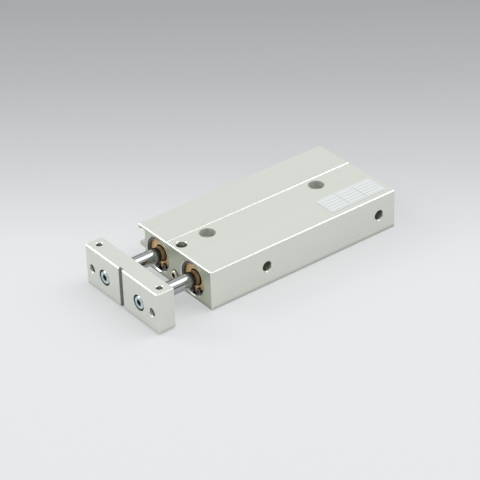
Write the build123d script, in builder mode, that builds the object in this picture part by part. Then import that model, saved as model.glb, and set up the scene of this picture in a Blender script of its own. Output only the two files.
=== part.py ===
from build123d import *
import os

# Twin rod pneumatic cylinder, in millimetres.
# X runs across the housing, with the ports on the +X side. Y runs along the rods: the front plate is at
# the -Y end. Z points up. The origin lies on the bottom face, midway between the two mounting holes.

# Housing
body_width = 46.0
body_height = 17.0
body_edge_chamfer = 0.3
end_face_chamfer = 0.25
index_groove_x = -4.8
index_groove_width = 0.65
index_groove_depth = 0.35

# Mounting holes in the housing
mounting_spacing = 54.0
front_hole_inset = 16.0
mounting_hole_diameter = 3.4
mounting_counterbore_diameter = 6.5
mounting_counterbore_depth = 3.3

# Bores
rod_pitch = 22.0
cylinder_bore = 10.0
front_mouth_diameter = 14.0
front_mouth_depth = 22.0
rear_mouth_diameter = 12.0
rear_mouth_depth = 6.0
mouth_chamfer = 0.4
turned_edge = 0.2

# Sensor slots in the left side, one above and one below a thin rib
slot_opening = 5.9
slot_depth = 4.2
slot_rib = 1.6
slot_rib_setback = 0.8
slot_lip_depth = 1.2
slot_undercut = 0.7
slot_corner_radius = 0.65

# Air ports in the right side
front_port_inset = 26.8
rear_port_inset = 8.1
port_thread_depth = 5.0
passage_diameter = 2.4

# Thread sizes: an open tapped hole is drawn at its core, a screw and its hole at the outer diameter
m5_core = 4.2
m4_core = 3.3
m4_outer = 4.0
m3_core = 2.5
m3_outer = 3.0
thread_mouth_chamfer = 0.3

# Retaining rings
ring_thickness = 1.0
ring_land = 0.6
ring_groove_play = 0.1
ring_groove_depth = 0.3
ring_band_width = 1.0
ring_taper = 0.15
ring_ear_radius = 1.35
ring_ear_angle = 21.0
ring_eye_diameter = 1.2
ring_gap_width = 2.6
front_ring_gap_angle = -83
rear_ring_gap_angle = 90

# Front gland: seal retainer, rod seal, bush and bumper
retainer_thickness = 1.5
retainer_opening = 8.6
wiper_setback = 0.4
seal_seat_diameter = 10.0
seal_seat_depth = 3.2
seal_lip_thickness = 0.8
seal_groove_width = 1.0
seal_groove_depth = 1.4
o_ring_section = 0.88
o_ring_groove_width = 1.5
bush_groove_setback = 8.0
bumper_recess = 0.8
bumper_wall_gap = 0.2
front_bumper_width = 1.4
front_bumper_proud = 2.0
front_bumper_edge = 0.4

# Rods and pistons
rod_diameter = 6.0
rod_end_chamfer = 0.4
spigot_diameter = 4.0
spigot_end = 0.7
piston_length = 20.4
piston_land_length = 4.0
piston_land_diameter = 8.4
piston_rib = 1.0
piston_seal_width = 2.0
piston_groove_floor = 7.4
piston_seal_lip = 0.25
magnet_width = 4.4
magnet_proud = 0.15
nut_across_flats = 7.0
nut_thickness = 3.2

# Head cover at the rear of each bore
rear_bumper_diameter = 8.6
rear_bumper_proud = 1.5
rear_bumper_edge = 0.5
head_groove_setback = 1.3

# Front plate. It clears the face that the housing is bolted to, so that it slides freely.
plate_thickness = 8.0
plate_height = 17.4
plate_foot_gap = 0.5
plate_edge_chamfer = 0.3
plate_corner_radius = 0.5
plate_groove_width = 2.3
plate_groove_depth = 1.1
plate_tapped_inset = 3.75
plate_top_tapped_depth = 5.0
plate_counterbore_diameter = 6.6
plate_counterbore_depth = 3.1
plate_screw_hole = 3.4
rod_seat_depth = 3.0

# Screws, and how far each hex socket is turned
cap_head_diameter = 5.5
cap_head_height = 3.0
cap_socket_flats = 2.5
cap_socket_turn = 90
cap_socket_depth = 1.4
cap_screw_length = 10.0
cap_head_edge = 0.3
stop_screw_height = 4.75
stop_screw_length = 10.0
stop_screw_proud = 0.8
stop_screw_socket_flats = 2.0
stop_screw_socket_turn = 90
stop_screw_socket_depth = 2.0
stop_screw_hole_depth = 12.5
lock_screw_inset = 3.7
lock_screw_depth = 3.2
lock_screw_socket_flats = 2.5
lock_screw_socket_turn = 0
lock_screw_socket_depth = 2.4

# Travel
rest_gap = 16.8
closed_gap = 1.0
stroke = 35.0
end_clearance = 0.1

# Clearances, each on the radius or between two faces
running_fit = 0.02
piston_fit = 0.05
seated_fit = 0.02
wiper_gap = 0.03

# Lengths and places that follow from the sizes above
piston_stack_length = piston_length + nut_thickness + spigot_end
piston_room = front_bumper_proud + piston_stack_length + stroke + 2 * end_clearance + rear_bumper_proud
body_length = front_mouth_depth + piston_room + rear_mouth_depth
axis_height = body_height / 2
front_face_y = -(mounting_spacing / 2 + front_hole_inset)
rear_face_y = front_face_y + body_length
left_side_x = -body_width / 2
right_side_x = body_width / 2
plate_rear_y = front_face_y - rest_gap
plate_front_y = plate_rear_y - plate_thickness
plate_top_z = plate_foot_gap + plate_height
plate_middle_z = plate_foot_gap + plate_height / 2
plate_tapped_x = body_width / 2 - plate_tapped_inset
front_bumper_radius = cylinder_bore / 2 - bumper_wall_gap
stop_screw_front_y = front_face_y - stop_screw_proud
lock_screw_y = front_face_y + lock_screw_inset
front_port_y = front_face_y + front_port_inset
rear_port_y = rear_face_y - rear_port_inset
front_ring_y = front_face_y + ring_land + ring_groove_play / 2
retainer_front_y = front_face_y + ring_land + ring_thickness + ring_groove_play
bush_front_y = retainer_front_y + retainer_thickness
bush_groove_y = bush_front_y + bush_groove_setback
front_step_y = front_face_y + front_mouth_depth
rear_step_y = rear_face_y - rear_mouth_depth
head_groove_y = rear_step_y + head_groove_setback
rear_ring_y = rear_face_y - ring_land - ring_groove_play / 2 - ring_thickness
head_rear_y = rear_face_y - ring_land - ring_thickness - ring_groove_play
retract_travel = rest_gap - closed_gap
rear_stop_y = rear_step_y - rear_bumper_proud
piston_stack_rear_y = rear_stop_y - end_clearance - retract_travel
piston_front_y = piston_stack_rear_y - piston_stack_length
piston_rear_y = piston_front_y + piston_length
rod_front_y = plate_rear_y - rod_seat_depth
cap_seat_y = plate_front_y + plate_counterbore_depth
sides = {"left": -1, "right": 1}


def bore_x(side):
    return side * rod_pitch / 2


def bore_axis(side):
    return Axis((bore_x(side), 0, axis_height), (0, 1, 0))


def half_section(side):
    """Plane through one bore's axis, with its local x as the radius and its local y along the rod."""
    return Plane(origin=(bore_x(side), 0, axis_height), x_dir=(1, 0, 0), z_dir=(0, 0, 1))


def cross_section(y, x=0.0, z=0.0):
    """Plane square to the rods, seen from the front: its normal points forwards, to -Y."""
    return Plane(origin=(x, y, z), x_dir=(1, 0, 0), z_dir=(0, -1, 0))


def finish_part(part, label):
    part.label = label
    export_step(part, f"parts/{label}.step")


def add_turned(side, outline, mode=Mode.ADD):
    """Turns a closed outline of (radius, y) points about one bore's axis, in the current part."""
    with BuildSketch(half_section(side)) as section:
        with BuildLine():
            Polyline(*outline, close=True)
        make_face()
    revolve(section.sketch, axis=bore_axis(side), mode=mode)


def cut_hole(plane, places, radius, depth, edge=0.0):
    """Drills round holes square into a plane, in the current part, each with a chamfered mouth."""
    with BuildSketch(plane) as holes:
        with Locations(*places):
            Circle(radius)
    extrude(holes.sketch, amount=-depth, mode=Mode.SUBTRACT)
    if edge > 0:
        with BuildSketch(plane) as mouths:
            with Locations(*places):
                Circle(radius + edge)
        extrude(mouths.sketch, amount=-edge, taper=45, mode=Mode.SUBTRACT)


def bore_outline():
    """The whole stepped bore, from past the front face to past the rear face."""
    mouth = front_mouth_diameter / 2
    rear_mouth = rear_mouth_diameter / 2
    front_groove_end = front_face_y + ring_land + ring_thickness + ring_groove_play
    rear_groove_end = rear_face_y - ring_land - ring_thickness - ring_groove_play
    return [
        (0, front_face_y),
        (mouth + mouth_chamfer, front_face_y),
        (mouth, front_face_y + mouth_chamfer),
        (mouth, front_face_y + ring_land),
        (mouth + ring_groove_depth, front_face_y + ring_land),
        (mouth + ring_groove_depth, front_groove_end),
        (mouth, front_groove_end),
        (mouth, front_step_y),
        (cylinder_bore / 2, front_step_y),
        (cylinder_bore / 2, rear_step_y),
        (rear_mouth, rear_step_y),
        (rear_mouth, rear_groove_end),
        (rear_mouth + ring_groove_depth, rear_groove_end),
        (rear_mouth + ring_groove_depth, rear_face_y - ring_land),
        (rear_mouth, rear_face_y - ring_land),
        (rear_mouth, rear_face_y - mouth_chamfer),
        (rear_mouth + mouth_chamfer, rear_face_y),
        (0, rear_face_y),
    ]


def slot_profile():
    """The two slots as one outline: each is wider behind its lip, and the rib stops short of the side."""
    slot_offset = (slot_rib + slot_opening) / 2
    undercut_depth = slot_depth - slot_lip_depth
    with BuildSketch(cross_section(rear_face_y)) as slots:
        with Locations((left_side_x + slot_rib_setback / 2, axis_height)):
            Rectangle(slot_rib_setback, slot_rib + slot_opening)
        for above in (1, -1):
            with Locations((left_side_x + slot_depth / 2, axis_height + above * slot_offset)):
                Rectangle(slot_depth, slot_opening)
            undercut_x = left_side_x + slot_lip_depth + undercut_depth / 2
            undercut_z = axis_height + above * (slot_offset + slot_undercut / 2)
            with Locations((undercut_x, undercut_z)):
                Rectangle(undercut_depth, slot_opening + slot_undercut)
        fillet(slots.vertices().group_by(Axis.X)[-1], slot_corner_radius)
    return slots.sketch


def index_groove_profile():
    """Shallow V in the top face."""
    with BuildSketch(cross_section(rear_face_y)) as groove:
        with BuildLine():
            Polyline(
                (index_groove_x - index_groove_width / 2, body_height),
                (index_groove_x, body_height - index_groove_depth),
                (index_groove_x + index_groove_width / 2, body_height),
                close=True,
            )
        make_face()
    return groove.sketch


def make_body():
    """Housing: an extruded bar with two sensor slots, bored, drilled and tapped."""
    centre = [(0, 0)]
    with BuildPart() as body:
        with BuildSketch(cross_section(rear_face_y)):
            with Locations((0, axis_height)):
                Rectangle(body_width, body_height)
        extrude(amount=body_length)
        chamfer(body.edges().filter_by(Axis.Y), body_edge_chamfer)
        chamfer(body.faces().filter_by(Axis.Y).edges(), end_face_chamfer)
        extrude(slot_profile(), amount=body_length, mode=Mode.SUBTRACT)
        extrude(index_groove_profile(), amount=body_length, mode=Mode.SUBTRACT)
        for side in sides.values():
            add_turned(side, bore_outline(), Mode.SUBTRACT)

        mounting_places = [(0, -mounting_spacing / 2), (0, mounting_spacing / 2)]
        top_plane = Plane.XY.offset(body_height)
        cut_hole(top_plane, mounting_places, mounting_counterbore_diameter / 2, mounting_counterbore_depth)
        cut_hole(top_plane, mounting_places, mounting_hole_diameter / 2, body_height)

        port_plane = Plane(origin=(right_side_x, 0, axis_height), x_dir=(0, 1, 0), z_dir=(1, 0, 0))
        port_places = [(front_port_y, 0), (rear_port_y, 0)]
        cut_hole(port_plane, port_places, m5_core / 2, port_thread_depth, thread_mouth_chamfer)
        cut_hole(port_plane, port_places, passage_diameter / 2, right_side_x + rod_pitch / 2)

        stop_plane = cross_section(front_face_y, 0, stop_screw_height)
        cut_hole(stop_plane, centre, m4_outer / 2 + seated_fit, stop_screw_hole_depth, thread_mouth_chamfer)
        lock_plane = Plane(origin=(0, lock_screw_y, body_height))
        lock_depth = body_height - stop_screw_height
        cut_hole(lock_plane, centre, m5_core / 2 + seated_fit, lock_depth, thread_mouth_chamfer)
    return body.part


def make_stop_screw():
    with BuildPart() as screw:
        with BuildSketch(cross_section(stop_screw_front_y, 0, stop_screw_height)):
            Circle(m4_outer / 2)
        extrude(amount=-stop_screw_length)
        chamfer(screw.edges().filter_by(GeomType.CIRCLE), thread_mouth_chamfer)
        with BuildSketch(cross_section(stop_screw_front_y, 0, stop_screw_height)):
            RegularPolygon(stop_screw_socket_flats / 2, 6, major_radius=False, rotation=stop_screw_socket_turn)
        extrude(amount=-stop_screw_socket_depth, mode=Mode.SUBTRACT)
    return screw.part


def make_lock_screw():
    top_z = body_height - lock_screw_depth
    tip_z = stop_screw_height + m4_outer / 2 + seated_fit
    with BuildPart() as screw:
        with BuildSketch(Plane(origin=(0, lock_screw_y, top_z))):
            Circle(m5_core / 2)
        extrude(amount=-(top_z - tip_z))
        chamfer(screw.edges().filter_by(GeomType.CIRCLE), thread_mouth_chamfer)
        with BuildSketch(Plane(origin=(0, lock_screw_y, top_z))):
            RegularPolygon(lock_screw_socket_flats / 2, 6, major_radius=False, rotation=lock_screw_socket_turn)
        extrude(amount=-lock_screw_socket_depth, mode=Mode.SUBTRACT)
    return screw.part


def make_retaining_ring(side, mouth_diameter, ring_y, gap_angle):
    """Open spring ring with two eared ends and a band that is widest opposite its gap.

    gap_angle is measured about the bore, from +X upwards.
    """
    outer_radius = mouth_diameter / 2 + ring_groove_depth - seated_fit
    inner_radius = outer_radius - ring_band_width
    ear_radius = inner_radius + ring_band_width / 2 - ring_ear_radius + seated_fit
    with BuildPart() as ring:
        rear_plane = cross_section(ring_y + ring_thickness, bore_x(side), axis_height)
        with BuildSketch(rear_plane):
            Circle(outer_radius)
            with PolarLocations(ring_taper, 1, start_angle=gap_angle):
                Circle(inner_radius, mode=Mode.SUBTRACT)
            for ear_side in (-1, 1):
                ear_angle = gap_angle + ear_side * ring_ear_angle
                with PolarLocations(ear_radius, 1, start_angle=ear_angle):
                    Circle(ring_ear_radius)
            with PolarLocations(outer_radius / 2 + ear_radius / 2, 1, start_angle=gap_angle):
                Rectangle(2 * outer_radius, ring_gap_width, mode=Mode.SUBTRACT)
            for ear_side in (-1, 1):
                ear_angle = gap_angle + ear_side * ring_ear_angle
                with PolarLocations(ear_radius, 1, start_angle=ear_angle):
                    Circle(ring_eye_diameter / 2, mode=Mode.SUBTRACT)
        extrude(amount=ring_thickness)
    return ring.part


def make_seal_retainer(side):
    outer = front_mouth_diameter / 2 - seated_fit
    opening = retainer_opening / 2
    edge = turned_edge
    with BuildPart() as retainer:
        add_turned(
            side,
            [
                (opening + edge, retainer_front_y),
                (outer - edge, retainer_front_y),
                (outer, retainer_front_y + edge),
                (outer, bush_front_y),
                (opening, bush_front_y),
                (opening, retainer_front_y + edge),
            ],
        )
    return retainer.part


def make_rod_seal(side):
    """U-section seal whose lips open to the rear, with a thin wiper lip that reaches forward."""
    inner = rod_diameter / 2 + wiper_gap
    outer = seal_seat_diameter / 2 - seated_fit
    seat_front = bush_front_y + seated_fit
    seat_rear = bush_front_y + seal_seat_depth - seated_fit
    middle = (inner + outer) / 2
    wiper_front = retainer_front_y + wiper_setback
    with BuildPart() as seal:
        add_turned(
            side,
            [
                (inner, wiper_front),
                (inner + seal_lip_thickness, wiper_front),
                (inner + seal_lip_thickness, seat_front),
                (outer, seat_front),
                (outer, seat_rear),
                (middle + seal_groove_width / 2, seat_rear),
                (middle, seat_rear - seal_groove_depth),
                (middle - seal_groove_width / 2, seat_rear),
                (inner, seat_rear),
            ],
        )
    return seal.part


def make_rod_bush(side):
    """Bearing and seal carrier: seal seat at the front, O-ring groove outside, bumper recess behind."""
    outer = front_mouth_diameter / 2 - seated_fit
    inner = rod_diameter / 2 + running_fit
    groove_floor = front_mouth_diameter / 2 - o_ring_section
    recess = front_bumper_radius + seated_fit
    with BuildPart() as bush:
        add_turned(
            side,
            [
                (seal_seat_diameter / 2, bush_front_y),
                (outer, bush_front_y),
                (outer, bush_groove_y),
                (groove_floor, bush_groove_y),
                (groove_floor, bush_groove_y + o_ring_groove_width),
                (outer, bush_groove_y + o_ring_groove_width),
                (outer, front_step_y),
                (recess, front_step_y),
                (recess, front_step_y - bumper_recess),
                (inner, front_step_y - bumper_recess),
                (inner, bush_front_y + seal_seat_depth),
                (seal_seat_diameter / 2, bush_front_y + seal_seat_depth),
            ],
        )
    return bush.part


def make_o_ring(side, wall_diameter, groove_y):
    """Round-section ring, centred in a groove that starts at groove_y, against a wall outside it."""
    section_radius = o_ring_section / 2 - seated_fit
    with BuildPart() as o_ring:
        with BuildSketch(half_section(side)):
            with Locations((wall_diameter / 2 - o_ring_section / 2, groove_y + o_ring_groove_width / 2)):
                Circle(section_radius)
        revolve(axis=bore_axis(side))
    return o_ring.part


def make_front_bumper(side):
    outer = front_bumper_radius
    inner = outer - front_bumper_width
    edge = front_bumper_edge
    rear = front_step_y + front_bumper_proud
    with BuildPart() as bumper:
        add_turned(
            side,
            [
                (inner, front_step_y - bumper_recess),
                (outer, front_step_y - bumper_recess),
                (outer, rear - edge),
                (outer - edge, rear),
                (inner + edge, rear),
                (inner, rear - edge),
            ],
        )
    return bumper.part


def make_rod(side):
    """Rod with a tapped front end, and a threaded spigot at the rear that carries piston and nut."""
    shaft = rod_diameter / 2
    spigot = spigot_diameter / 2
    tapped_depth = cap_screw_length - (rod_front_y - cap_seat_y) + rod_end_chamfer
    with BuildPart() as rod:
        add_turned(
            side,
            [
                (0, rod_front_y),
                (shaft - rod_end_chamfer, rod_front_y),
                (shaft, rod_front_y + rod_end_chamfer),
                (shaft, piston_front_y),
                (spigot, piston_front_y),
                (spigot, piston_stack_rear_y - rod_end_chamfer),
                (spigot - rod_end_chamfer, piston_stack_rear_y),
                (0, piston_stack_rear_y),
            ],
        )
        with BuildSketch(cross_section(rod_front_y, bore_x(side), axis_height)):
            Circle(m3_outer / 2 + seated_fit)
        extrude(amount=-tapped_depth, mode=Mode.SUBTRACT)
    return rod.part


def seal_groove_ys():
    """Where the two seal grooves of a piston start."""
    first = piston_front_y + piston_land_length + piston_rib
    second = piston_rear_y - piston_land_length - piston_rib - piston_seal_width
    return first, second


def magnet_groove_y():
    return (piston_front_y + piston_rear_y - magnet_width) / 2


def make_piston(side):
    """Piston with a narrow land at each end, so that it never covers a port, and its grooves."""
    outer = cylinder_bore / 2 - piston_fit
    land = piston_land_diameter / 2
    bore = spigot_diameter / 2 + seated_fit
    floor = piston_groove_floor / 2
    first_groove, second_groove = seal_groove_ys()
    with BuildPart() as piston:
        add_turned(
            side,
            [
                (bore, piston_front_y),
                (land - rod_end_chamfer, piston_front_y),
                (land, piston_front_y + rod_end_chamfer),
                (land, piston_front_y + piston_land_length),
                (outer, piston_front_y + piston_land_length),
                (outer, first_groove),
                (floor, first_groove),
                (floor, first_groove + piston_seal_width),
                (outer, first_groove + piston_seal_width),
                (outer, second_groove),
                (floor, second_groove),
                (floor, second_groove + piston_seal_width),
                (outer, second_groove + piston_seal_width),
                (outer, piston_rear_y - piston_land_length),
                (land, piston_rear_y - piston_land_length),
                (land, piston_rear_y - rod_end_chamfer),
                (land - rod_end_chamfer, piston_rear_y),
                (bore, piston_rear_y),
            ],
        )
        if side == sides["left"]:
            groove_start = magnet_groove_y()
            groove_end = groove_start + magnet_width
            add_turned(
                side,
                [(floor, groove_start), (outer, groove_start), (outer, groove_end), (floor, groove_end)],
                Mode.SUBTRACT,
            )
    return piston.part


def make_piston_seals(side):
    """The two lip seals of one piston, with their hollow sides facing away from each other."""
    outer = cylinder_bore / 2 - running_fit
    inner = piston_groove_floor / 2 + seated_fit
    middle = (inner + outer) / 2
    hollow = piston_seal_lip
    with BuildPart() as seals:
        for groove_y, facing in zip(seal_groove_ys(), (-1, 1)):
            centre = groove_y + piston_seal_width / 2
            open_face = centre + facing * (piston_seal_width / 2 - seated_fit)
            closed_face = centre - facing * (piston_seal_width / 2 - seated_fit)
            add_turned(
                side,
                [
                    (inner, closed_face),
                    (outer - hollow, closed_face),
                    (outer, open_face),
                    (middle + hollow, open_face),
                    (middle, centre),
                    (middle - hollow, open_face),
                    (inner, open_face),
                ],
            )
    return seals.part


def make_magnet():
    side = sides["left"]
    inner = piston_groove_floor / 2 + seated_fit
    outer = cylinder_bore / 2 - piston_fit - magnet_proud
    start = magnet_groove_y() + seated_fit
    end = magnet_groove_y() + magnet_width - seated_fit
    with BuildPart() as magnet:
        add_turned(side, [(inner, start), (outer, start), (outer, end), (inner, end)])
    return magnet.part


def make_piston_nut(side):
    with BuildPart() as nut:
        with BuildSketch(cross_section(piston_rear_y + nut_thickness, bore_x(side), axis_height)):
            RegularPolygon(nut_across_flats / 2, 6, major_radius=False)
            Circle(spigot_diameter / 2 + seated_fit, mode=Mode.SUBTRACT)
        extrude(amount=nut_thickness)
    return nut.part


def make_head_cover(side):
    """Plug that closes the rear of a bore, with an O-ring groove and a recess for the rear bumper."""
    outer = rear_mouth_diameter / 2 - seated_fit
    groove_end = head_groove_y + o_ring_groove_width
    floor = rear_mouth_diameter / 2 - o_ring_section
    recess = rear_bumper_diameter / 2 + seated_fit
    edge = turned_edge
    with BuildPart() as cover:
        add_turned(
            side,
            [
                (0, rear_step_y + bumper_recess),
                (recess, rear_step_y + bumper_recess),
                (recess, rear_step_y),
                (outer, rear_step_y),
                (outer, head_groove_y),
                (floor, head_groove_y),
                (floor, groove_end),
                (outer, groove_end),
                (outer, head_rear_y - edge),
                (outer - edge, head_rear_y),
                (0, head_rear_y),
            ],
        )
    return cover.part


def make_rear_bumper(side):
    outer = rear_bumper_diameter / 2
    edge = rear_bumper_edge
    with BuildPart() as bumper:
        add_turned(
            side,
            [
                (0, rear_stop_y),
                (outer - edge, rear_stop_y),
                (outer, rear_stop_y + edge),
                (outer, rear_step_y + bumper_recess),
                (0, rear_step_y + bumper_recess),
            ],
        )
    return bumper.part


def make_front_plate():
    """Plate across both rods, grooved down the middle of its face."""
    screw_places = [(bore_x(side), 0) for side in sides.values()]
    tapped_places = [(side * plate_tapped_x, 0) for side in sides.values()]
    front_plane = cross_section(plate_front_y, 0, axis_height)
    seat_plane = Plane(origin=(0, plate_rear_y, axis_height), x_dir=(1, 0, 0), z_dir=(0, 1, 0))
    top_plane = Plane(origin=(0, (plate_front_y + plate_rear_y) / 2, plate_top_z))
    with BuildPart() as plate:
        with BuildSketch(cross_section(plate_rear_y, 0, plate_middle_z)):
            Rectangle(body_width, plate_height)
        extrude(amount=plate_thickness)
        fillet(plate.edges().filter_by(Axis.Z), plate_corner_radius)
        chamfer(plate.faces().filter_by(Axis.Z).edges(), plate_edge_chamfer)
        with BuildSketch(cross_section(plate_front_y, 0, plate_middle_z)):
            Rectangle(plate_groove_width, plate_height)
        extrude(amount=-plate_groove_depth, mode=Mode.SUBTRACT)
        cut_hole(front_plane, screw_places, plate_counterbore_diameter / 2, plate_counterbore_depth)
        cut_hole(front_plane, screw_places, plate_screw_hole / 2, plate_thickness)
        cut_hole(front_plane, tapped_places, m4_core / 2, plate_thickness, thread_mouth_chamfer)
        cut_hole(seat_plane, screw_places, rod_diameter / 2 + seated_fit, rod_seat_depth)
        cut_hole(top_plane, tapped_places, m3_core / 2, plate_top_tapped_depth, thread_mouth_chamfer)
    return plate.part


def make_plate_screws():
    """The two socket cap screws that hold the plate to the rods."""
    head_front_y = cap_seat_y - cap_head_height
    with BuildPart() as screws:
        for side in sides.values():
            head = cap_head_diameter / 2
            shank = m3_outer / 2
            shank_end_y = cap_seat_y + cap_screw_length
            add_turned(
                side,
                [
                    (0, head_front_y),
                    (head - cap_head_edge, head_front_y),
                    (head, head_front_y + cap_head_edge),
                    (head, cap_seat_y),
                    (shank, cap_seat_y),
                    (shank, shank_end_y - cap_head_edge),
                    (shank - cap_head_edge, shank_end_y),
                    (0, shank_end_y),
                ],
            )
            with BuildSketch(cross_section(head_front_y, bore_x(side), axis_height)):
                RegularPolygon(cap_socket_flats / 2, 6, major_radius=False, rotation=cap_socket_turn)
            extrude(amount=-cap_socket_depth, mode=Mode.SUBTRACT)
    return screws.part


os.makedirs("parts", exist_ok=True)

finish_part(make_body(), "body")
finish_part(make_stop_screw(), "stop_screw")
finish_part(make_lock_screw(), "lock_screw")
finish_part(make_front_plate(), "front_plate")
finish_part(make_plate_screws(), "plate_screws")
finish_part(make_magnet(), "piston_magnet")
for side_name, side in sides.items():
    front_ring = make_retaining_ring(side, front_mouth_diameter, front_ring_y, front_ring_gap_angle)
    finish_part(front_ring, f"front_ring_{side_name}")
    finish_part(make_seal_retainer(side), f"seal_retainer_{side_name}")
    finish_part(make_rod_seal(side), f"rod_seal_{side_name}")
    finish_part(make_rod_bush(side), f"rod_bush_{side_name}")
    finish_part(make_o_ring(side, front_mouth_diameter, bush_groove_y), f"bush_o_ring_{side_name}")
    finish_part(make_front_bumper(side), f"front_bumper_{side_name}")
    finish_part(make_rod(side), f"piston_rod_{side_name}")
    finish_part(make_piston(side), f"piston_{side_name}")
    finish_part(make_piston_seals(side), f"piston_seals_{side_name}")
    finish_part(make_piston_nut(side), f"piston_nut_{side_name}")
    finish_part(make_rear_bumper(side), f"rear_bumper_{side_name}")
    finish_part(make_head_cover(side), f"head_cover_{side_name}")
    finish_part(make_o_ring(side, rear_mouth_diameter, head_groove_y), f"head_o_ring_{side_name}")
    rear_ring = make_retaining_ring(side, rear_mouth_diameter, rear_ring_y, rear_ring_gap_angle)
    finish_part(rear_ring, f"rear_ring_{side_name}")
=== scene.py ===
"""Twin rod pneumatic cylinder: finishes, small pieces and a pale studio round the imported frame."""

import logging
import math
from abc import ABC, abstractmethod
from dataclasses import dataclass
from enum import Enum
from typing import Any, ClassVar

import bpy
from mathutils import Matrix, Vector


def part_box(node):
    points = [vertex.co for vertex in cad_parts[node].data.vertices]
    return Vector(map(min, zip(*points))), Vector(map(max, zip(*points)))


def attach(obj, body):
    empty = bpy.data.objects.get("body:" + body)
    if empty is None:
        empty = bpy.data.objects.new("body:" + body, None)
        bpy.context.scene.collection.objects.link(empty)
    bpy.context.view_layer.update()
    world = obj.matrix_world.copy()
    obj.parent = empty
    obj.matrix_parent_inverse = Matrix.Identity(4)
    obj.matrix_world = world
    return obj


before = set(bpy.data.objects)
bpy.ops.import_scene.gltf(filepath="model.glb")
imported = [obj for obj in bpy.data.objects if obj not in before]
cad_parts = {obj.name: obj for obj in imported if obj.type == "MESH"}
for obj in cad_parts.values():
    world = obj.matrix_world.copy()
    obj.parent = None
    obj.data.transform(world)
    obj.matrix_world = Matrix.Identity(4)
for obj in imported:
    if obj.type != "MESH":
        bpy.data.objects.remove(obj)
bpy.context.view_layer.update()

MM = 0.001
AXIS_HEIGHT = 8.5 * MM
HALF_PITCH = 11.0 * MM
# A face counts as level where its normal's Z is above this.
LEVEL_NORMAL = 0.9

log = logging.getLogger("scene")
Socket = bpy.types.NodeSocket
Tree = bpy.types.NodeTree
Colour = tuple[float, float, float, float]


class Along(Enum):
    """Direction in which a surface was drawn or brushed, as the stretch of its pattern."""

    X = (0.03, 1.0, 1.0)
    Y = (1.0, 0.03, 1.0)


class Side(Enum):
    """Side of the housing, with the sign of its bore's X."""

    LEFT = -1
    RIGHT = 1


def linear(hex_colour: str) -> Colour:
    """Turns an sRGB hex colour into a linear one.

    Args:
        hex_colour: Colour such as "#C8CAC4".

    Returns:
        Red, green, blue and alpha, as a shader's socket takes them.
    """
    shares = [int(hex_colour[i : i + 2], 16) / 255 for i in (1, 3, 5)]
    red, green, blue = (s / 12.92 if s <= 0.04045 else ((s + 0.055) / 1.055) ** 2.4 for s in shares)
    return (red, green, blue, 1.0)


def add_node(
    tree: Tree, kind: str, inputs: dict[str | int, Any] | None = None, **settings: Any
) -> bpy.types.Node:
    """Adds one node with its settings, values and links.

    Args:
        tree: Node tree that gets the node.
        kind: Blender's name of the node's type.
        inputs: Socket name or number to a value, or to the output that is linked to it.
        **settings: Properties of the node itself.

    Returns:
        The new node.
    """
    node = tree.nodes.new(kind)
    for key, value in settings.items():
        setattr(node, key, value)
    for key, value in (inputs or {}).items():
        if isinstance(value, Socket):
            tree.links.new(value, node.inputs[key])
        else:
            node.inputs[key].default_value = value
    return node


def object_place(tree: Tree) -> Socket:
    """Returns the place of the shaded point on its object, in metres."""
    return add_node(tree, "ShaderNodeTexCoord").outputs["Object"]


def split(tree: Tree, vector: Socket) -> dict[str, Socket]:
    """Splits a vector.

    Args:
        tree: The material's node tree.
        vector: Output that gives the vector.

    Returns:
        Outputs of its parts, by the names X, Y and Z.
    """
    node = add_node(tree, "ShaderNodeSeparateXYZ", {"Vector": vector})
    return {axis: node.outputs[axis] for axis in "XYZ"}


def calculate(tree: Tree, operation: str, *values: Socket | float, clamp: bool = False) -> Socket:
    """Adds one operation on numbers.

    Args:
        tree: The material's node tree.
        operation: Blender's name of the operation.
        *values: Outputs or numbers, in the operation's own order.
        clamp: Whether the result stays between 0 and 1.

    Returns:
        Output that gives the result.
    """
    node = add_node(tree, "ShaderNodeMath", dict(enumerate(values)), operation=operation, use_clamp=clamp)
    return node.outputs["Value"]


def noise(tree: Tree, place: Socket, size_mm: float, detail: float = 2.0) -> Socket:
    """Adds an uneven pattern.

    Args:
        tree: The material's node tree.
        place: Output that gives the place in the pattern.
        size_mm: Rough size of the pattern's spots.
        detail: Number of finer layers in it.

    Returns:
        Output with a value about 0.5.
    """
    node = add_node(tree, "ShaderNodeTexNoise", {
        "Vector": place, "Scale": 1 / (size_mm * MM), "Detail": detail})
    return node.outputs["Fac"]


def blend(
    tree: Tree, share: Socket, first: Socket | Colour, second: Socket | Colour, how: str = "MIX"
) -> Socket:
    """Blends two colours.

    Args:
        tree: The material's node tree.
        share: Output that gives the second colour's share.
        first: The first colour.
        second: The second colour.
        how: Blender's name of the way of blending.

    Returns:
        Output that gives the colour.
    """
    node = add_node(tree, "ShaderNodeMix", {"Factor": share, "A": first, "B": second},
                    data_type="RGBA", blend_type=how)
    return node.outputs["Result"]


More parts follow.
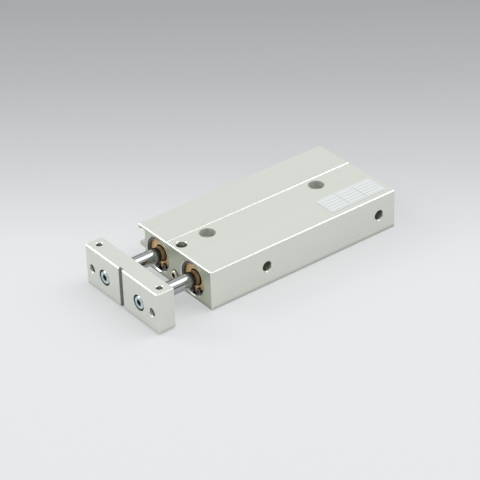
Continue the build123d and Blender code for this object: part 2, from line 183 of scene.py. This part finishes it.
@dataclass(frozen=True)
class Finish(ABC):
    """A surface finish: two tones that a pattern mixes, a fine relief, and painted shade in recesses.

    Its material is made once, when it is first asked for.
    """

    name: str = "finish"
    colour: str = "#808080"
    second: str = "#808080"
    metallic: float = 1.0
    roughness: float = 0.4
    spread: float = 0.05
    relief_mm: float = 0.002
    # Painted shade: its tone in holes, grooves and gaps, and how far out from a surface it reaches.
    painted_shade: str = "#5E6052"
    painted_shade_mm: float = 2.5
    # Painted highlight: a near-white, smoother tone on the edges that edges() finds.
    painted_highlight_colour: str = "#EEF0EA"
    edge_roughness: float = 0.2
    shelf: ClassVar[dict[str, bpy.types.Material]] = {}
    # Shares of open surroundings at which the painted shade is full, and at which it ends.
    painted_shade_range: ClassVar[tuple[float, float]] = (0.2, 0.9)
    painted_shade_samples: ClassVar[int] = 8

    @abstractmethod
    def pattern(self, tree: Tree) -> tuple[Socket, Socket]:
        """Adds the finish's own pattern.

        Args:
            tree: The material's node tree.

        Returns:
            The share of the second tone, and the relief's height, both from 0 to 1.
        """

    def tint(self, tree: Tree, tone: Socket) -> Socket:
        """Returns the tone as it is. A finish that differs from place to place changes it here."""
        return tone

    def edges(self, tree: Tree) -> Socket | None:
        """Returns the share of painted highlight, or None on a finish that has none."""
        return None

    def material(self) -> bpy.types.Material:
        """Returns this finish's material."""
        if self.name in self.shelf:
            return self.shelf[self.name]
        made = self.shelf[self.name] = bpy.data.materials.new(self.name)
        made.use_nodes = True
        tree = made.node_tree
        shader = tree.nodes["Principled BSDF"]
        shader.inputs["Metallic"].default_value = self.metallic
        share, height = self.pattern(tree)
        tone = self.tint(tree, blend(tree, share, linear(self.colour), linear(self.second)))
        # Painted shade: the tone turns to the shade tone in holes, grooves and gaps, where less light
        # reaches.
        near = add_node(tree, "ShaderNodeAmbientOcclusion", {"Distance": self.painted_shade_mm * MM},
                        samples=self.painted_shade_samples)
        full, none = self.painted_shade_range
        reach = add_node(tree, "ShaderNodeMapRange", {
            "Value": near.outputs["AO"], "From Min": full, "From Max": none})
        tone = blend(tree, reach.outputs["Result"], linear(self.painted_shade), tone)
        gloss = add_node(tree, "ShaderNodeMapRange", {
            "Value": share, "To Min": self.roughness - self.spread, "To Max": self.roughness + self.spread})
        edges = self.edges(tree)
        if edges is not None:
            # Painted highlight on the edges that edges() finds.
            tone = blend(tree, edges, tone, linear(self.painted_highlight_colour))
            gloss = add_node(tree, "ShaderNodeMix", {
                "Factor": edges, "A": gloss.outputs["Result"], "B": self.edge_roughness})
        bump = add_node(tree, "ShaderNodeBump", {"Height": height, "Distance": self.relief_mm * MM})
        tree.links.new(tone, shader.inputs["Base Color"])
        tree.links.new(gloss.outputs["Result"], shader.inputs["Roughness"])
        tree.links.new(bump.outputs["Normal"], shader.inputs["Normal"])
        return made


@dataclass(frozen=True)
class AnodisedAluminium(Finish):
    """Extruded aluminium, etched and clear anodised: pale satin grey, a little green, with faint die lines.

    The etched oxide scatters much of the light, so it is only partly a metal to the eye. The end faces get a
    painted shade, darker and greener. The chamfers and the counterbores' seats get painted highlights.
    """

    name: str = "anodised_extrusion"
    colour: str = "#E6E9E0"
    second: str = "#E0E3DA"
    metallic: float = 0.6
    roughness: float = 0.42
    spread: float = 0.03
    # Painted shade on the housing's end faces.
    painted_end_shade: str = "#E4E7DC"
    # Painted olive shade in the holes, slots and groove.
    painted_shade: str = "#5C5F4C"
    painted_shade_mm: float = 3.0
    lines_along: Along = Along.Y
    line_mm: float = 0.6
    cloud_mm: float = 9.0
    grain_mm: float = 0.25
    box: tuple[Vector, Vector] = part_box("body")
    end_layer_mm: float = 0.1
    chamfer_mm: float = 0.45
    chamfer_lean: float = math.sqrt(0.5)
    lean_play: float = 0.05
    seat_mm: float = 3.3
    seat_play_mm: float = 0.1

    def pattern(self, tree: Tree) -> tuple[Socket, Socket]:
        """Adds die lines, a slow change of tone and the etch's grain, which is drawn coarser than it is."""
        place = object_place(tree)
        drawn = add_node(tree, "ShaderNodeMapping", {
            "Vector": place, "Scale": self.lines_along.value}).outputs["Vector"]
        lines = noise(tree, drawn, self.line_mm, detail=3.0)
        clouds = noise(tree, drawn, self.cloud_mm)
        grain = noise(tree, place, self.grain_mm)
        # Both patterns lie about 0.5, so twice their product does too.
        share = calculate(tree, "MULTIPLY", calculate(tree, "MULTIPLY", lines, clouds), 2.0, clamp=True)
        return share, calculate(tree, "ADD", lines, grain)

    def tint(self, tree: Tree, tone: Socket) -> Socket:
        """Paints shade on the housing's end faces, as a darker, greener tint."""
        low, high = self.box
        layer = self.end_layer_mm * MM
        along = split(tree, object_place(tree))["Y"]
        before = calculate(tree, "LESS_THAN", along, low.y + layer)
        behind = calculate(tree, "GREATER_THAN", along, high.y - layer)
        end = calculate(tree, "ADD", before, behind, clamp=True)
        return blend(tree, end, tone, linear(self.painted_end_shade), how="MULTIPLY")

    def edges(self, tree: Tree) -> Socket:
        """Finds where highlights are painted: on chamfers at the outer faces, and on the counterbores' seats.
        """
        low, high = self.box
        middle, half = (low + high) / 2, (high - low) / 2
        from_middle = add_node(tree, "ShaderNodeVectorMath", {0: object_place(tree), 1: middle},
                               operation="SUBTRACT")
        offset = split(tree, from_middle.outputs["Vector"])
        facing = split(tree, add_node(tree, "ShaderNodeNewGeometry").outputs["True Normal"])
        seat_height = half.z - self.seat_mm * MM
        at_seat = calculate(tree, "COMPARE", offset["Z"], seat_height, self.seat_play_mm * MM)
        level = calculate(tree, "GREATER_THAN", facing["Z"], LEVEL_NORMAL)
        found = calculate(tree, "MULTIPLY", at_seat, level)
        for axis, reach in zip("XYZ", half):
            distance = calculate(tree, "ABSOLUTE", offset[axis])
            near = calculate(tree, "GREATER_THAN", distance, reach - self.chamfer_mm * MM)
            lean = calculate(tree, "ABSOLUTE", facing[axis])
            slant = calculate(tree, "COMPARE", lean, self.chamfer_lean, self.lean_play)
            found = calculate(tree, "MULTIPLY_ADD", near, slant, found, clamp=True)
        return found


@dataclass(frozen=True)
class AnodisedPlate(AnodisedAluminium):
    """The front plate's aluminium: bar stock milled across, then clear anodised, even on all its faces."""

    name: str = "anodised_bar"
    lines_along: Along = Along.X
    # Painted shade in the plate's groove and holes, lighter than the housing's.
    painted_shade: str = "#82847A"
    box: tuple[Vector, Vector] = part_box("front_plate")

    def tint(self, tree: Tree, tone: Socket) -> Socket:
        """Returns the tone as it is: the plate's end faces get no painted shade."""
        return tone


@dataclass(frozen=True)
class TurnedMetal(Finish):
    """Metal faced on a lathe: fine rings about the bore's axis."""

    feed_mm: float = 0.3
    wander: float = 0.6
    stain_mm: float = 2.5
    relief_mm: float = 0.004

    def pattern(self, tree: Tree) -> tuple[Socket, Socket]:
        """Adds the lathe's rings, drawn coarser than the real feed, and a soft stain."""
        place = object_place(tree)
        parts = split(tree, place)
        across = calculate(tree, "SUBTRACT", calculate(tree, "ABSOLUTE", parts["X"]), HALF_PITCH)
        upward = calculate(tree, "SUBTRACT", parts["Z"], AXIS_HEIGHT)
        centred = add_node(tree, "ShaderNodeCombineXYZ", {"X": across, "Y": parts["Y"], "Z": upward})
        # A wave's own period is pi / 10 at a scale of 1.
        rings = add_node(tree, "ShaderNodeTexWave", {
            "Vector": centred.outputs["Vector"], "Scale": math.pi / 10 / (self.feed_mm * MM),
            "Distortion": self.wander, "Detail": 1.0}, wave_type="RINGS", rings_direction="Y")
        return noise(tree, place, self.stain_mm, detail=3.0), rings.outputs["Fac"]


@dataclass(frozen=True)
class GroundChrome(Finish):
    """Hard chromed and ground rod: a mirror with hair-fine grinding lines round it."""

    name: str = "ground_chrome"
    colour: str = "#B6B8B8"
    second: str = "#AAACAD"
    roughness: float = 0.11
    spread: float = 0.03
    relief_mm: float = 0.0004
    # Painted dark brown shade on the rod where it nears the housing and the plate.
    painted_shade: str = "#4E4238"
    painted_shade_mm: float = 3.0
    grind_mm: float = 0.15
    lines_round: tuple[float, float, float] = (0.02, 1.0, 0.02)

    def pattern(self, tree: Tree) -> tuple[Socket, Socket]:
        """Adds grinding lines that run round the rod."""
        squeezed = add_node(tree, "ShaderNodeMapping", {
            "Vector": object_place(tree), "Scale": self.lines_round})
        lines = noise(tree, squeezed.outputs["Vector"], self.grind_mm, detail=4.0)
        return lines, lines


@dataclass(frozen=True)
class GrainedSurface(Finish):
    """Plated, blackened or moulded surface with one even grain."""

    grain_mm: float = 0.3

    def pattern(self, tree: Tree) -> tuple[Socket, Socket]:
        """Adds the grain to colour, gloss and relief."""
        grain = noise(tree, object_place(tree), self.grain_mm, detail=4.0)
        return grain, grain


@dataclass(frozen=True)
class RuledFoil(Finish):
    """Silver polyester foil printed with an empty ruled table, whose rules run along the housing."""

    name: str = "ruled_foil"
    colour: str = "#E4E9E7"
    second: str = "#8E9294"
    metallic: float = 0.2
    roughness: float = 0.38
    spread: float = 0.02
    relief_mm: float = 0.001
    row_mm: float = 1.8
    column_mm: float = 8.5
    line_mm: float = 0.14
    corner: tuple[float, float] = (0.0, 0.0)

    def pattern(self, tree: Tree) -> tuple[Socket, Socket]:
        """Adds the rules of the table."""
        parts = split(tree, object_place(tree))
        lying = add_node(tree, "ShaderNodeCombineXYZ", {"X": parts["Y"], "Y": parts["X"]})
        start_x, start_y = self.corner
        table = add_node(tree, "ShaderNodeMapping", {
            "Vector": lying.outputs["Vector"], "Location": (-start_y, -start_x, 0.0)})
        rules = add_node(tree, "ShaderNodeTexBrick", {
            "Vector": table.outputs["Vector"], "Scale": 1.0, "Mortar Size": self.line_mm * MM / 2,
            "Brick Width": self.column_mm * MM, "Row Height": self.row_mm * MM}, offset=0.0)
        return rules.outputs["Fac"], rules.outputs["Fac"]


@dataclass(frozen=True)
class StudioPaper(Finish):
    """Matt paper of a product table, pale by the object and greyer towards the rear.

    Part of its tone is a painted glow, which lightens the object's shadow on it. The glow shows where the
    paper is seen, straight or mirrored in the object, and lights nothing else.
    """

    name: str = "studio_paper"
    metallic: float = 0.0
    roughness: float = 0.95
    spread: float = 0.02
    relief_mm: float = 0.01
    # The painted shade near the object has the paper's own pale tone.
    painted_shade: str = "#E0E1E2"
    rearward: tuple[float, float, float] = (-0.765, 0.644, 0.0)
    pale_until_mm: float = -24.0
    grey_from_mm: float = 212.0
    fibre_mm: float = 1.5
    painted_glow_share: float = 0.5
    painted_glow: float = 1.05
    unlit: str = "#000000"
    # Places from the pale end to the grey end, each with its tone.
    tones: tuple[tuple[float, str], ...] = (
        (0.0, "#E0E1E2"), (0.12, "#DDDEDF"), (0.38, "#C7C8CA"), (0.68, "#B0B1B3"), (1.0, "#9FA0A2"))

    def pattern(self, tree: Tree) -> tuple[Socket, Socket]:
        """Adds the paper's fibres, which only the relief shows."""
        fibres = noise(tree, object_place(tree), self.fibre_mm)
        return fibres, fibres

    def tint(self, tree: Tree, tone: Socket) -> Socket:
        """Replaces the tone by the fall of tone across the floor."""
        depth = add_node(tree, "ShaderNodeVectorMath", {0: object_place(tree), 1: self.rearward},
                         operation="DOT_PRODUCT")
        share = add_node(tree, "ShaderNodeMapRange", {
            "Value": depth.outputs["Value"], "From Min": self.pale_until_mm * MM,
            "From Max": self.grey_from_mm * MM})
        ramp = add_node(tree, "ShaderNodeValToRGB", {"Fac": share.outputs["Result"]})
        stops = ramp.color_ramp.elements
        # A new ramp has two stops. Each stop gets its place below.
        for position, _ in self.tones[2:]:
            stops.new(position)
        for stop, (position, shade) in zip(stops, self.tones):
            stop.position = position
            stop.color = linear(shade)
        return ramp.outputs["Color"]

    def material(self) -> bpy.types.Material:
        """Returns the paper's material, with part of its tone painted on as a glow that lightens the object's
        shadow.
        """
        made = super().material()
        tree = made.node_tree
        shader = tree.nodes["Principled BSDF"]
        tone = shader.inputs["Base Color"].links[0].from_socket
        # Painted glow: camera and mirror rays see part of the tone as light, so the object's shadow on the
        # paper looks lighter.
        ray = add_node(tree, "ShaderNodeLightPath").outputs
        seen = calculate(tree, "ADD", ray["Is Camera Ray"], ray["Is Glossy Ray"])
        seen = calculate(tree, "ADD", seen, ray["Is Transmission Ray"], clamp=True)
        share = calculate(tree, "MULTIPLY", seen, self.painted_glow_share)
        dimmed = blend(tree, share, tone, linear(self.unlit))
        strength = calculate(tree, "MULTIPLY", share, self.painted_glow)
        tree.links.new(dimmed, shader.inputs["Base Color"])
        tree.links.new(tone, shader.inputs["Emission Color"])
        tree.links.new(strength, shader.inputs["Emission Strength"])
        return made


def deselect_all() -> None:
    """Clears the selection, so that an operator acts only on the piece being made."""
    for one in bpy.context.selected_objects:
        one.select_set(False)


def draw_outline(corners: list[tuple[float, float, float]]) -> bpy.types.Object:
    """Draws a closed outline, which a modifier then turns or winds.

    Args:
        corners: Places of its corners, in order.

    Returns:
        The outline, as the active object at the origin.
    """
    deselect_all()
    bpy.ops.mesh.primitive_circle_add(vertices=len(corners), fill_type="NOTHING", location=(0.0, 0.0, 0.0))
    outline = bpy.context.active_object
    for vertex, corner in zip(outline.data.vertices, corners):
        vertex.co = corner
    return outline


def close_surface(smooth_angle: float) -> None:
    """Closes the triangular ends of the active mesh, turns its faces outward and smooths it.

    Args:
        smooth_angle: Edges that bend by less than this are smooth.
    """
    bpy.ops.object.mode_set(mode="EDIT")
    bpy.ops.mesh.select_all(action="SELECT")
    bpy.ops.mesh.fill_holes(sides=3)
    bpy.ops.mesh.normals_make_consistent(inside=False)
    bpy.ops.object.mode_set(mode="OBJECT")
    bpy.ops.object.shade_smooth_by_angle(angle=smooth_angle)


def finish_piece(
    piece: bpy.types.Object, name: str, body: str, finishes: list[Finish]
) -> None:
    """Names a finished piece, gives it its materials and lets it ride on its body.

    Args:
        piece: Object whose place is in its mesh.
        name: Name of the piece.
        body: Body that carries it.
        finishes: Its finishes, in the order of its material slots.
    """
    piece.name = name
    piece.data.name = name
    for one in finishes:
        piece.data.materials.append(one.material())
    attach(piece, body)
    log.info("piece %s rides on %s", name, body)


def place_copies(
    pattern: bpy.types.Object, places: dict[str, Matrix], body: str, finish: Finish
) -> None:
    """Copies a modelled pattern to its places, each copy with its own mesh, and then removes the pattern.

    Args:
        pattern: Object that was modelled at the origin.
        places: Name of each copy, and where it goes.
        body: Body that carries the copies.
        finish: Finish of every copy.
    """
    for name, place in places.items():
        deselect_all()
        pattern.select_set(True)
        bpy.context.view_layer.objects.active = pattern
        bpy.ops.object.duplicate(linked=False)
        piece = bpy.context.active_object
        piece.matrix_world = place
        bpy.ops.object.transform_apply(location=True, rotation=True, scale=True)
        finish_piece(piece, name, body, [finish])
    bpy.data.objects.remove(pattern)


def dress_node(node: str, finish: Finish) -> None:
    """Gives a node of the frame its finish.

    Args:
        node: Name of the node.
        finish: Its finish.
    """
    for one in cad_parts[node].material_slots:
        one.material = finish.material()
    log.info("node %s is %s", node, finish.name)


BODY_ALUMINIUM = AnodisedAluminium()
PLATE_ALUMINIUM = AnodisedPlate()
# Bare aluminium cut by a tap: dull, with a painted olive shade that darkens it in a hole.
CUT_ALUMINIUM = GrainedSurface("cut_aluminium", "#C2C4B2", "#A8AA9A", roughness=0.3, painted_shade="#484A3D",
                               painted_shade_mm=1.5)
# Bare turned aluminium: brighter and bluer than the anodised housing.
BARE_ALUMINIUM = TurnedMetal("faced_aluminium", "#CDD0D2", "#BFC2C5", roughness=0.3)
# Cast tin bronze, turned and dulled by oil: warm orange yellow with soft stains, and a faint painted shade in
# its corners.
BRONZE = TurnedMetal("bearing_bronze", "#FFE3B0", "#FFCB8C", metallic=0.15, roughness=0.45, painted_shade="#D69C60",
                     painted_shade_mm=0.4)
CHROME = GroundChrome()
# Spring steel with a dark phosphate coat: dull charcoal, lighter where the coat is thin, with painted black
# shade in the gaps round it.
SPRING_STEEL = GrainedSurface("phosphated_spring_steel", "#7C797B", "#5F5D60", metallic=0.9, roughness=0.3,
                              grain_mm=0.2, painted_shade="#0C0C0C", painted_shade_mm=1.2)
# Blackened steel screw: brown-black with a dull sheen, and painted near-black shade in its socket.
BLACK_STEEL = GrainedSurface("blackened_steel", "#3A3833", "#524E42", metallic=0.9, painted_shade="#12110F")
# Bright zinc plate with a clear blue passivation: bluish white, with painted dark teal shade in the socket.
ZINC = GrainedSurface("blue_passivated_zinc", "#D9E4E3", "#C8D5D6", roughness=0.25, grain_mm=0.35,
                      painted_shade="#3D6272", painted_shade_mm=2.0)
# Nickel plated steel: warm white, with painted near-black shade in the socket.
NICKEL = GrainedSurface("nickel_plated_steel", "#E6E0D0", "#D6CFBD", roughness=0.22, grain_mm=0.35,
                        painted_shade="#1A1814", painted_shade_mm=2.2)
# Moulded black nitrile rubber: dull, and almost without highlights, with painted near-black shade in its
# gaps.
RUBBER = GrainedSurface("moulded_nitrile", "#141414", "#1E1E1D", metallic=0.0, roughness=0.5, grain_mm=0.25,
                        painted_shade="#060606")
# Cast amber polyurethane: waxy and half shiny, with painted brown shade in its gaps.
URETHANE = GrainedSurface("cast_polyurethane", "#C89B4F", "#B98B3F", metallic=0.0, roughness=0.38,
                          grain_mm=0.6, painted_shade="#6E5020")
# Rubber-bonded ferrite: dark grey-brown and grainy, with painted near-black shade in its gaps.
MAGNET = GrainedSurface("bonded_magnet", "#1F1C1B", "#2E2A28", metallic=0.1, roughness=0.6, grain_mm=0.12,
                        painted_shade="#0A0909")
# Silver polyester foil: paler and smoother than the aluminium under it.
FOIL = GrainedSurface("silver_foil", "#E4E9E7", "#DDE2E0", metallic=0.2, roughness=0.38, grain_mm=0.8,
                      relief_mm=0.0004)


@dataclass
class TappedThread:
    """Flanks of a thread that winds along the walls of equal tapped holes."""

    mouths: dict[str, Vector]
    body: str
    inward: Vector
    core_radius: float
    pitch: float
    length: float
    flank_share: float = 0.48
    crest_share: float = 0.2
    root_gap: float = 0.02 * MM
    steps: int = 28
    smooth_angle: float = math.radians(40)

    def build(self) -> None:
        """Models one turn's section as a triangle, winds it into a helix and sets it in each hole."""
        half = self.pitch * self.flank_share
        root = self.core_radius - self.root_gap
        crest = root - self.pitch * self.crest_share
        pattern = draw_outline([(root, 0.0, -half), (crest, 0.0, 0.0), (root, 0.0, half)])
        wind = pattern.modifiers.new("wind", "SCREW")
        wind.screw_offset = self.pitch
        wind.iterations = max(1, round((self.length - 2 * half) / self.pitch))
        wind.steps = wind.render_steps = self.steps
        bpy.ops.object.modifier_apply(modifier=wind.name)
        close_surface(self.smooth_angle)
        turn = Vector((0.0, 0.0, 1.0)).rotation_difference(self.inward).to_matrix().to_4x4()
        places = {f"{name}_thread": Matrix.Translation(mouth + self.inward * half) @ turn
                  for name, mouth in self.mouths.items()}
        place_copies(pattern, places, self.body, CUT_ALUMINIUM)


@dataclass
class ScraperRings:
    """Thin bronze ring in the opening of each seal retainer, which scrapes dirt off the rod."""

    inner_radius: float = 3.5 * MM
    outer_radius: float = 4.3 * MM
    thickness: float = 0.3 * MM
    setback: float = 0.1 * MM
    edge: float = 0.1 * MM
    weld: float = 0.001 * MM
    steps: int = 72
    smooth_angle: float = math.radians(30)

    def build(self) -> None:
        """Models a ring's section, turns it about the rod's axis and sets it in each retainer."""
        inner, outer, rear = self.inner_radius, self.outer_radius, self.thickness
        section = [(inner, self.edge), (inner + self.edge, 0.0), (outer, 0.0), (outer, rear), (inner, rear)]
        pattern = draw_outline([(radius, depth, 0.0) for radius, depth in section])
        turned = pattern.modifiers.new("turned", "SCREW")
        turned.axis = "Y"
        turned.steps = turned.render_steps = self.steps
        turned.use_merge_vertices = True
        turned.merge_threshold = self.weld
        bpy.ops.object.modifier_apply(modifier=turned.name)
        close_surface(self.smooth_angle)
        places = {}
        for side in Side:
            name = side.name.lower()
            low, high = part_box(f"seal_retainer_{name}")
            middle = (low + high) / 2
            places[f"scraper_ring_{name}"] = Matrix.Translation((middle.x, low.y + self.setback, middle.z))
        place_copies(pattern, places, "housing", BRONZE)


@dataclass
class BlankLabel:
    """Foil label on the top of the housing, near its rear right corner, with an empty ruled table."""

    width: float = 10.9 * MM
    length: float = 27.3 * MM
    side_inset: float = 2.7 * MM
    rear_inset: float = 2.1 * MM
    corner_radius: float = 1.1 * MM
    corner_segments: int = 6
    thickness: float = 0.08 * MM
    edge: float = 0.04 * MM
    border: float = 0.9 * MM

    def build(self) -> None:
        """Models the foil: a thin plate with rounded corners, a soft edge and an inset field."""
        _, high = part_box("body")
        centre = Vector((high.x - self.side_inset - self.width / 2,
                         high.y - self.rear_inset - self.length / 2,
                         high.z + self.thickness / 2))
        deselect_all()
        bpy.ops.mesh.primitive_cube_add(size=1.0, location=centre)
        piece = bpy.context.active_object
        piece.scale = (self.width, self.length, self.thickness)
        bpy.ops.object.transform_apply(location=True, rotation=True, scale=True)
        self.round_corners(piece)
        self.inset_field(piece)
        start = (centre.x - self.width / 2 + self.border, centre.y - self.length / 2 + self.border)
        finish_piece(piece, "blank_label", "housing", [FOIL, RuledFoil(corner=start)])
        for face in piece.data.polygons:
            face.material_index = int(face.select)

    def round_corners(self, piece: bpy.types.Object) -> None:
        """Rounds the four upright edges of the foil.

        Args:
            piece: The foil, as a plain plate.
        """
        bpy.ops.object.mode_set(mode="EDIT")
        bpy.ops.mesh.select_mode(type="EDGE")
        bpy.ops.mesh.select_all(action="DESELECT")
        bpy.ops.object.mode_set(mode="OBJECT")
        for side in piece.data.edges:
            start, end = (piece.data.vertices[i].co for i in side.vertices)
            side.select = abs(start.z - end.z) > self.thickness / 2
        bpy.ops.object.mode_set(mode="EDIT")
        bpy.ops.mesh.bevel(offset=self.corner_radius, segments=self.corner_segments, affect="EDGES")
        bpy.ops.object.mode_set(mode="OBJECT")

    def inset_field(self, piece: bpy.types.Object) -> None:
        """Insets the soft edge and the field for the table in the top face, and leaves the field selected.

        Args:
            piece: The foil with its rounded corners.
        """
        bpy.ops.object.mode_set(mode="EDIT")
        bpy.ops.mesh.select_mode(type="FACE")
        bpy.ops.mesh.select_all(action="DESELECT")
        bpy.ops.object.mode_set(mode="OBJECT")
        for face in piece.data.polygons:
            face.select = face.normal.z > LEVEL_NORMAL
        bpy.ops.object.mode_set(mode="EDIT")
        bpy.ops.mesh.inset(thickness=self.edge, depth=0.0)
        bpy.ops.mesh.inset(thickness=self.border, depth=0.0)
        bpy.ops.object.mode_set(mode="OBJECT")


@dataclass
class Housing:
    """Extruded housing with its screws, label and threads."""

    port_ys: tuple[float, float] = (-16.2 * MM, 39.9 * MM)
    core_radius: float = 2.1 * MM
    pitch: float = 0.8 * MM
    port_depth: float = 5.0 * MM
    lock_screw_depth: float = 3.2 * MM
    mouth: float = 0.3 * MM

    def build(self) -> None:
        """Dresses the housing and models what it carries."""
        dress_node("body", BODY_ALUMINIUM)
        dress_node("stop_screw", NICKEL)
        dress_node("lock_screw", BLACK_STEEL)
        self.build_threads()
        BlankLabel().build()

    def build_threads(self) -> None:
        """Models the threads of both air ports and of the lock screw's hole."""
        _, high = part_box("body")
        ports = {f"{name}_port": Vector((high.x - self.mouth, port_y, AXIS_HEIGHT))
                 for name, port_y in zip(("front", "rear"), self.port_ys)}
        TappedThread(ports, "housing", Vector((-1.0, 0.0, 0.0)), self.core_radius, self.pitch,
                     self.port_depth - self.mouth).build()
        screw_low, screw_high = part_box("lock_screw")
        middle = (screw_low + screw_high) / 2
        lock_hole = {"lock_hole": Vector((middle.x, middle.y, high.z - self.mouth))}
        TappedThread(lock_hole, "housing", Vector((0.0, 0.0, -1.0)), self.core_radius, self.pitch,
                     self.lock_screw_depth - self.mouth).build()


@dataclass
class Gland:
    """What closes the front of one bore: ring, retainer, seal, bush, O-ring and bumper."""

    side: Side

    def build(self) -> None:
        """Gives the gland's nodes their finishes."""
        name = self.side.name.lower()
        dress_node(f"front_ring_{name}", SPRING_STEEL)
        dress_node(f"seal_retainer_{name}", BRONZE)
        dress_node(f"rod_seal_{name}", RUBBER)
        dress_node(f"rod_bush_{name}", BRONZE)
        dress_node(f"bush_o_ring_{name}", RUBBER)
        dress_node(f"front_bumper_{name}", URETHANE)


@dataclass
class HeadEnd:
    """What closes the rear of one bore: cover, O-ring, bumper and ring."""

    side: Side

    def build(self) -> None:
        """Gives the head end's nodes their finishes."""
        name = self.side.name.lower()
        dress_node(f"head_cover_{name}", BARE_ALUMINIUM)
        dress_node(f"head_o_ring_{name}", RUBBER)
        dress_node(f"rear_bumper_{name}", URETHANE)
        dress_node(f"rear_ring_{name}", SPRING_STEEL)


@dataclass
class PistonAssembly:
    """One rod with its piston, seals and nut, and the magnet where the side has one."""

    side: Side

    def build(self) -> None:
        """Gives the nodes that move in one bore their finishes."""
        name = self.side.name.lower()
        dress_node(f"piston_rod_{name}", CHROME)
        dress_node(f"piston_{name}", BARE_ALUMINIUM)
        dress_node(f"piston_seals_{name}", RUBBER)
        dress_node(f"piston_nut_{name}", ZINC)
        if self.side is Side.LEFT:
            dress_node("piston_magnet", MAGNET)


@dataclass
class FrontPlate:
    """Plate across both rods, with its screws and tapped holes."""

    hole_offset: float = 19.25 * MM
    front_core: float = 1.65 * MM
    front_pitch: float = 0.7 * MM
    top_core: float = 1.25 * MM
    top_pitch: float = 0.5 * MM
    top_depth: float = 5.0 * MM
    mouth: float = 0.3 * MM

    def build(self) -> None:
        """Dresses the plate and its screws, and models the threads of its tapped holes."""
        dress_node("front_plate", PLATE_ALUMINIUM)
        dress_node("plate_screws", ZINC)
        low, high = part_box("front_plate")
        middle_y, through = (low.y + high.y) / 2, high.y - low.y - 2 * self.mouth
        places = {side.name.lower(): side.value * self.hole_offset for side in Side}
        front_holes = {f"plate_front_{name}": Vector((x, low.y + self.mouth, AXIS_HEIGHT))
                       for name, x in places.items()}
        TappedThread(front_holes, "rod_assembly", Vector((0.0, 1.0, 0.0)), self.front_core, self.front_pitch,
                     through).build()
        top_holes = {f"plate_top_{name}": Vector((x, middle_y, high.z - self.mouth))
                     for name, x in places.items()}
        TappedThread(top_holes, "rod_assembly", Vector((0.0, 0.0, -1.0)), self.top_core, self.top_pitch,
                     self.top_depth - self.mouth).build()


@dataclass(frozen=True)
class Softbox:
    """A large soft lamp that faces the object. Its sizes and distance are in metres."""

    name: str
    direction: tuple[float, float, float]
    width: float
    height: float
    radiance: float
    distance: float = 2.4

    def build(self) -> None:
        """Makes the lamp."""
        data = bpy.data.lights.new(self.name, "AREA")
        data.shape = "RECTANGLE"
        data.size, data.size_y = self.width, self.height
        # A flat lamp of this power has the wanted radiance over its whole face.
        data.energy = self.radiance * math.pi * self.width * self.height
        lamp = bpy.data.objects.new(self.name, data)
        bpy.context.scene.collection.objects.link(lamp)
        way = Vector(self.direction).normalized()
        lamp.location = way * self.distance
        lamp.rotation_euler = way.to_track_quat("Z", "Y").to_euler()
        lamp.visible_camera = False
        log.info("lamp %s", self.name)


@dataclass
class Studio:
    """Camera at the reference angle, soft lamps, an even sky and a paper floor."""

    azimuth: float = math.radians(52.98)
    elevation: float = math.radians(32.67)
    roll: float = math.radians(-1.93)
    distance: float = 825.9 * MM
    lens_mm: float = 162.1
    sensor_mm: float = 36.0
    # Nearest and farthest distance that the camera sees, in metres.
    sight: tuple[float, float] = (0.01, 50.0)
    target: tuple[float, float, float] = (7.92 * MM, -17.48 * MM, 13.65 * MM)
    floor_size: float = 8.0
    floor_drop: float = 0.02 * MM
    sky: str = "#F6F7F8"
    low_walls: str = "#8E8F95"
    walls_to: float = math.radians(16)
    sky_from: float = math.radians(24)
    sky_strength: float = 0.84
    lamps: tuple[Softbox, ...] = (
        Softbox("overhead_softbox", (0.24, 0.51, 0.83), width=1.4, height=2.6, radiance=2.0),
        Softbox("front_softbox", (-0.67, -0.54, 0.51), width=1.2, height=1.2, radiance=3.0))

    def build_camera(self) -> None:
        """Makes the scene's camera."""
        flat = math.cos(self.elevation)
        back = Vector((math.sin(self.azimuth) * flat, -math.cos(self.azimuth) * flat,
                       math.sin(self.elevation)))
        right = Vector((math.cos(self.azimuth), math.sin(self.azimuth), 0.0))
        up = back.cross(right)
        cosine, sine = math.cos(self.roll), math.sin(self.roll)
        data = bpy.data.cameras.new("camera")
        data.lens = self.lens_mm
        data.sensor_width = self.sensor_mm
        data.clip_start, data.clip_end = self.sight
        camera = bpy.data.objects.new("camera", data)
        bpy.context.scene.collection.objects.link(camera)
        turn = Matrix((right * cosine + up * sine, up * cosine - right * sine, back)).transposed().to_4x4()
        camera.matrix_world = Matrix.Translation(Vector(self.target) + back * self.distance) @ turn
        bpy.context.scene.camera = camera

    def build_sky(self) -> None:
        """Makes the even sky, with the studio's darker walls low round it, which the rods mirror."""
        world = bpy.data.worlds.new("studio_sky")
        world.use_nodes = True
        tree = world.node_tree
        rise = split(tree, add_node(tree, "ShaderNodeTexCoord").outputs["Generated"])["Z"]
        share = add_node(tree, "ShaderNodeMapRange", {
            "Value": rise, "From Min": math.sin(self.walls_to), "From Max": math.sin(self.sky_from)})
        tone = blend(tree, share.outputs["Result"], linear(self.low_walls), linear(self.sky))
        ground = tree.nodes["Background"]
        ground.inputs["Strength"].default_value = self.sky_strength
        tree.links.new(tone, ground.inputs["Color"])
        bpy.context.scene.world = world

    def build_floor(self) -> None:
        """Makes the paper floor."""
        deselect_all()
        # The floor lies a hair lower than the housing, so that the two faces don't coincide.
        bpy.ops.mesh.primitive_plane_add(size=self.floor_size, location=(0.0, 0.0, -self.floor_drop))
        floor = bpy.context.active_object
        floor.name = "studio_floor"
        floor.data.materials.append(StudioPaper().material())

    def build(self) -> None:
        """Makes the whole studio."""
        self.build_camera()
        for lamp in self.lamps:
            lamp.build()
        self.build_sky()
        self.build_floor()
        bpy.context.scene.view_settings.view_transform = "Standard"


def main() -> None:
    """Builds the sub-assemblies in order, then the studio."""
    logging.basicConfig(level=logging.INFO, format="%(message)s")
    Housing().build()
    for side in Side:
        Gland(side).build()
        PistonAssembly(side).build()
        HeadEnd(side).build()
    ScraperRings().build()
    FrontPlate().build()
    Studio().build()


if __name__ == "__main__":
    main()
